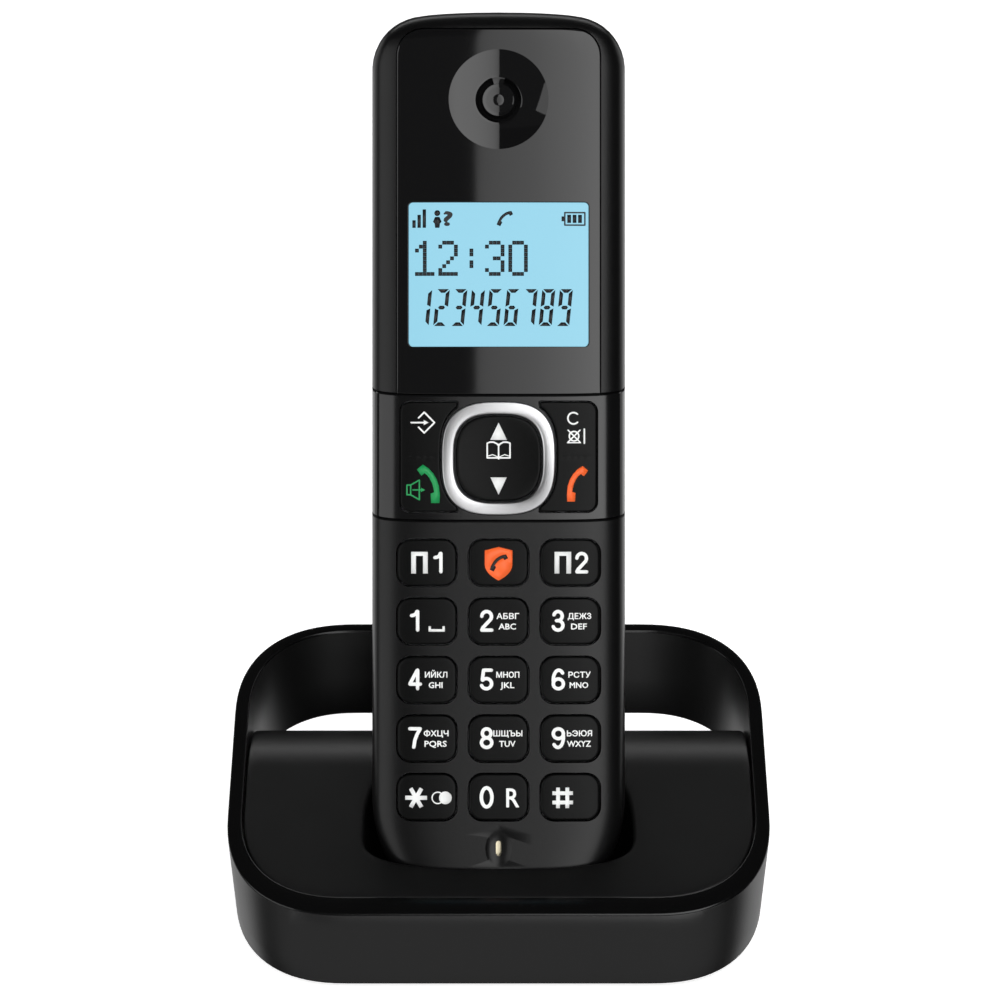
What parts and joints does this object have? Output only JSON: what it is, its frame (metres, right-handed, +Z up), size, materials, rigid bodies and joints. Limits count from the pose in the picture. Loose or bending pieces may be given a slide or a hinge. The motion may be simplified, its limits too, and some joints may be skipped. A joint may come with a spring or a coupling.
{
  "type": "cordless phone with base",
  "caption": "Slim cordless telephone handset with a display, a navigation key and a keypad, leaning back in a charging base with a tilted hoop round its cradle.",
  "frame": {"origin": "bottom centre of the object's box with the handset in its base, on the plane the feet stand on", "axes": "+Z up, -Y towards the user who faces the keypad, +X to that user's right"},
  "size_m": [0.101, 0.0848, 0.1671],
  "materials": {
    "satin_black": "fine satin grain",
    "gloss_black": "polished",
    "key_black": "satin",
    "silver": "brushed",
    "rubber": "matte",
    "circuit_green": "solder mask",
    "lcd_blue": "display film",
    "contact_metal": "plated",
    "cell_wrap": "plastic wrap",
    "screw_steel": "zinc plated",
    "silicone": "matte"
  },
  "bodies": {
    "root": {"base_hoop": "satin_black", "cradle_deck": "satin_black", "base_bottom_cover": "satin_black", "foot_front_left": "rubber", "foot_front_right": "rubber", "foot_rear_left": "rubber", "foot_rear_right": "rubber", "base_screw_front_left": "screw_steel", "base_screw_front_right": "screw_steel", "base_screw_rear_left": "screw_steel", "base_screw_rear_right": "screw_steel", "base_circuit_board": "circuit_green", "base_antenna": "contact_metal", "line_jack": "satin_black", "power_jack": "satin_black"},
    "handset": {"front_housing": "satin_black", "rear_housing": "satin_black", "nav_bezel": "gloss_black", "display_window": "gloss_black", "nav_ring": "silver", "handset_circuit_board": "circuit_green", "display_panel": "lcd_blue", "keypad_mat": "silicone", "earpiece_speaker": "contact_metal", "loudspeaker": "contact_metal", "microphone": "contact_metal", "charge_pad_left": "contact_metal", "charge_pad_right": "contact_metal", "handset_screw_left": "screw_steel", "handset_screw_right": "screw_steel", "battery_cell_left": "cell_wrap", "battery_cell_right": "cell_wrap", "battery_plate_left": "contact_metal", "battery_plate_right": "contact_metal", "battery_spring_left": "contact_metal", "battery_spring_right": "contact_metal"},
    "battery_door": {"battery_door": "satin_black"},
    "page_button": {"page_button": "key_black"},
    "charge_contact_left": {"charge_contact_left": "contact_metal"},
    "charge_contact_right": {"charge_contact_right": "contact_metal"},
    "nav_key": {"nav_key": "key_black"},
    "rocker_key_left": {"rocker_key_left": "key_black"},
    "rocker_key_right": {"rocker_key_right": "key_black"},
    "key_star": {"key_star": "key_black"},
    "key_zero": {"key_zero": "key_black"},
    "key_hash": {"key_hash": "key_black"},
    "key_seven": {"key_seven": "key_black"},
    "key_eight": {"key_eight": "key_black"},
    "key_nine": {"key_nine": "key_black"},
    "key_four": {"key_four": "key_black"},
    "key_five": {"key_five": "key_black"},
    "key_six": {"key_six": "key_black"},
    "key_one": {"key_one": "key_black"},
    "key_two": {"key_two": "key_black"},
    "key_three": {"key_three": "key_black"},
    "key_memory_one": {"key_memory_one": "key_black"},
    "key_call_block": {"key_call_block": "key_black"},
    "key_memory_two": {"key_memory_two": "key_black"}
  },
  "joints": [
    {"name": "handset_lift", "type": "slide", "parent": "root", "child": "handset", "axis": [0, 0.342, 0.9397], "range_m": [0, 0.08]},
    {"name": "battery_door_pull", "type": "slide", "parent": "handset", "child": "battery_door", "axis": [0, 0.9397, -0.342], "range_m": [0, 0.02]},
    {"name": "page_button_press", "type": "slide", "parent": "root", "child": "page_button", "axis": [0, -1, 0], "range_m": [0, 0.0008], "stiffness_N_per_m": 800, "springref_m": -0.0004},
    {"name": "charge_contact_left_press", "type": "slide", "parent": "root", "child": "charge_contact_left", "axis": [0, 0, -1], "range_m": [0, 0.0008], "stiffness_N_per_m": 300, "springref_m": -0.0004},
    {"name": "charge_contact_right_press", "type": "slide", "parent": "root", "child": "charge_contact_right", "axis": [0, 0, -1], "range_m": [0, 0.0008], "stiffness_N_per_m": 300, "springref_m": -0.0004},
    {"name": "nav_key_rock", "type": "hinge", "parent": "handset", "child": "nav_key", "pos_m": [0, -0.00114, 0.08968], "axis": [1, 0, 0], "range_deg": [-4, 4], "stiffness_Nm_per_rad": 0.15},
    {"name": "rocker_key_left_rock", "type": "hinge", "parent": "handset", "child": "rocker_key_left", "pos_m": [0, -0.00114, 0.08968], "axis": [1, 0, 0], "range_deg": [-3.5, 3.5], "stiffness_Nm_per_rad": 0.2},
    {"name": "rocker_key_right_rock", "type": "hinge", "parent": "handset", "child": "rocker_key_right", "pos_m": [0, -0.00114, 0.08968], "axis": [1, 0, 0], "range_deg": [-3.5, 3.5], "stiffness_Nm_per_rad": 0.2},
    {"name": "key_star_press", "type": "slide", "parent": "handset", "child": "key_star", "axis": [0, 0.9397, -0.342], "range_m": [0, 0.0008], "stiffness_N_per_m": 800, "springref_m": -0.0004},
    {"name": "key_zero_press", "type": "slide", "parent": "handset", "child": "key_zero", "axis": [0, 0.9397, -0.342], "range_m": [0, 0.0008], "stiffness_N_per_m": 800, "springref_m": -0.0004},
    {"name": "key_hash_press", "type": "slide", "parent": "handset", "child": "key_hash", "axis": [0, 0.9397, -0.342], "range_m": [0, 0.0008], "stiffness_N_per_m": 800, "springref_m": -0.0004},
    {"name": "key_seven_press", "type": "slide", "parent": "handset", "child": "key_seven", "axis": [0, 0.9397, -0.342], "range_m": [0, 0.0008], "stiffness_N_per_m": 800, "springref_m": -0.0004},
    {"name": "key_eight_press", "type": "slide", "parent": "handset", "child": "key_eight", "axis": [0, 0.9397, -0.342], "range_m": [0, 0.0008], "stiffness_N_per_m": 800, "springref_m": -0.0004},
    {"name": "key_nine_press", "type": "slide", "parent": "handset", "child": "key_nine", "axis": [0, 0.9397, -0.342], "range_m": [0, 0.0008], "stiffness_N_per_m": 800, "springref_m": -0.0004},
    {"name": "key_four_press", "type": "slide", "parent": "handset", "child": "key_four", "axis": [0, 0.9397, -0.342], "range_m": [0, 0.0008], "stiffness_N_per_m": 800, "springref_m": -0.0004},
    {"name": "key_five_press", "type": "slide", "parent": "handset", "child": "key_five", "axis": [0, 0.9397, -0.342], "range_m": [0, 0.0008], "stiffness_N_per_m": 800, "springref_m": -0.0004},
    {"name": "key_six_press", "type": "slide", "parent": "handset", "child": "key_six", "axis": [0, 0.9397, -0.342], "range_m": [0, 0.0008], "stiffness_N_per_m": 800, "springref_m": -0.0004},
    {"name": "key_one_press", "type": "slide", "parent": "handset", "child": "key_one", "axis": [0, 0.9397, -0.342], "range_m": [0, 0.0008], "stiffness_N_per_m": 800, "springref_m": -0.0004},
    {"name": "key_two_press", "type": "slide", "parent": "handset", "child": "key_two", "axis": [0, 0.9397, -0.342], "range_m": [0, 0.0008], "stiffness_N_per_m": 800, "springref_m": -0.0004},
    {"name": "key_three_press", "type": "slide", "parent": "handset", "child": "key_three", "axis": [0, 0.9397, -0.342], "range_m": [0, 0.0008], "stiffness_N_per_m": 800, "springref_m": -0.0004},
    {"name": "key_memory_one_press", "type": "slide", "parent": "handset", "child": "key_memory_one", "axis": [0, 0.9397, -0.342], "range_m": [0, 0.0008], "stiffness_N_per_m": 800, "springref_m": -0.0004},
    {"name": "key_call_block_press", "type": "slide", "parent": "handset", "child": "key_call_block", "axis": [0, 0.9397, -0.342], "range_m": [0, 0.0008], "stiffness_N_per_m": 800, "springref_m": -0.0004},
    {"name": "key_memory_two_press", "type": "slide", "parent": "handset", "child": "key_memory_two", "axis": [0, 0.9397, -0.342], "range_m": [0, 0.0008], "stiffness_N_per_m": 800, "springref_m": -0.0004}
  ]
}
